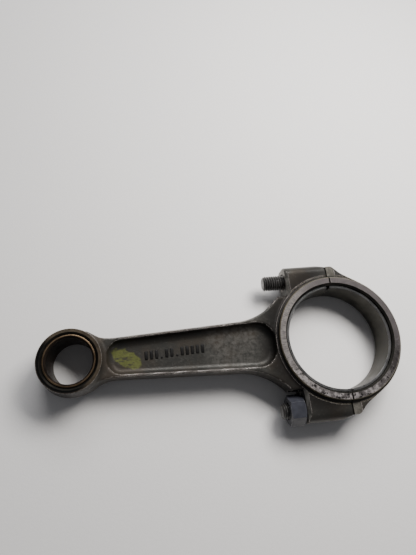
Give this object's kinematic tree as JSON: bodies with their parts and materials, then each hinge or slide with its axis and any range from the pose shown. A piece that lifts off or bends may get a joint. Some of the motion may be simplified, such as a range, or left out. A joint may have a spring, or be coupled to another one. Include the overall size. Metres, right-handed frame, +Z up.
{
  "type": "connecting rod",
  "caption": "Forged I-beam connecting rod with a bushed pin eye and a split big end: bolted cap, bearing shell halves, a clamping nut and raised thrust rings.",
  "frame": {"origin": "centre of the underside of the whole rod as it lies flat on its thrust faces", "axes": "+X from the piston-pin eye to the big-end cap, +Z up along both bore axes, +Y across the big end towards the bolt without a nut"},
  "size_m": [0.185, 0.0818, 0.02],
  "materials": {
    "forged_steel": "oily dark forging skin, worn bright on the thrust rings and flange edges",
    "bearing_steel": "dull grey-olive lining, fine turned edge",
    "bronze": "oil-darkened bronze, fine turned",
    "black_steel": "black oxide with oil",
    "nut_steel": "blue-grey oxide, worn at the corners"
  },
  "bodies": {
    "rod": {"rod_body": "forged_steel", "rod_side_shell": "bearing_steel", "small_end_bush": "bronze"},
    "cap": {"big_end_cap": "forged_steel", "cap_side_shell": "bearing_steel"},
    "upper_bolt_body": {"upper_bolt": "black_steel"},
    "lower_bolt_body": {"lower_bolt": "black_steel"},
    "nut": {"lower_nut": "nut_steel"}
  },
  "joints": [
    {"name": "cap_pull_off", "type": "slide", "parent": "rod", "child": "cap", "axis": [1, 0, 0], "range_m": [0, 0.04]},
    {"name": "upper_bolt_draw", "type": "slide", "parent": "cap", "child": "upper_bolt_body", "axis": [1, 0, 0], "range_m": [0, 0.04]},
    {"name": "lower_bolt_draw", "type": "slide", "parent": "cap", "child": "lower_bolt_body", "axis": [1, 0, 0], "range_m": [0, 0.04]},
    {"name": "lower_nut_run_off", "type": "slide", "parent": "rod", "child": "nut", "axis": [-1, 0, 0], "range_m": [0, 0.014]}
  ]
}
